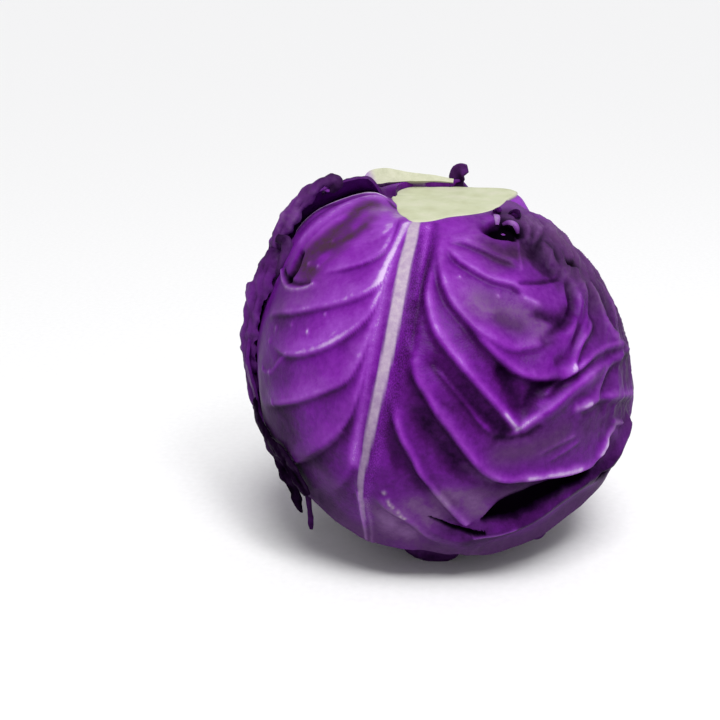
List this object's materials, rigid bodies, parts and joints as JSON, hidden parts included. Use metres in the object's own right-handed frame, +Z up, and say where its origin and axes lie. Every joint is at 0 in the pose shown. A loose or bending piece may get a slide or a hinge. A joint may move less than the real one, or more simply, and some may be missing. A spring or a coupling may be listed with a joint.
{
  "type": "red cabbage",
  "caption": "Round red cabbage head with wrapped, veined purple leaves and a cut pale stalk, standing on its crown with the stalk up.",
  "frame": {"origin": "middle of the head's footprint box, on the surface it rests on", "axes": "+Z up through the cut stalk; the big front leaf with the pale midrib faces -Y; +X to its right"},
  "size_m": [0.1462, 0.1458, 0.1442],
  "materials": {
    "wrapper_leaf": "waxy, glossy purple leaf with a pale midrib",
    "inner_leaf": "waxy dark purple leaf",
    "heart_leaf": "tight, waxy dark purple leaves",
    "cut_stalk": "moist, pale yellow-green cut flesh"
  },
  "bodies": {
    "root": {"stalk": "cut_stalk", "heart": "heart_leaf", "inner_leaf_back": "inner_leaf", "inner_leaf_front": "inner_leaf", "inner_leaf_left": "inner_leaf", "leaf_right": "wrapper_leaf", "leaf_front": "wrapper_leaf", "leaf_back": "wrapper_leaf"}
  },
  "joints": []
}
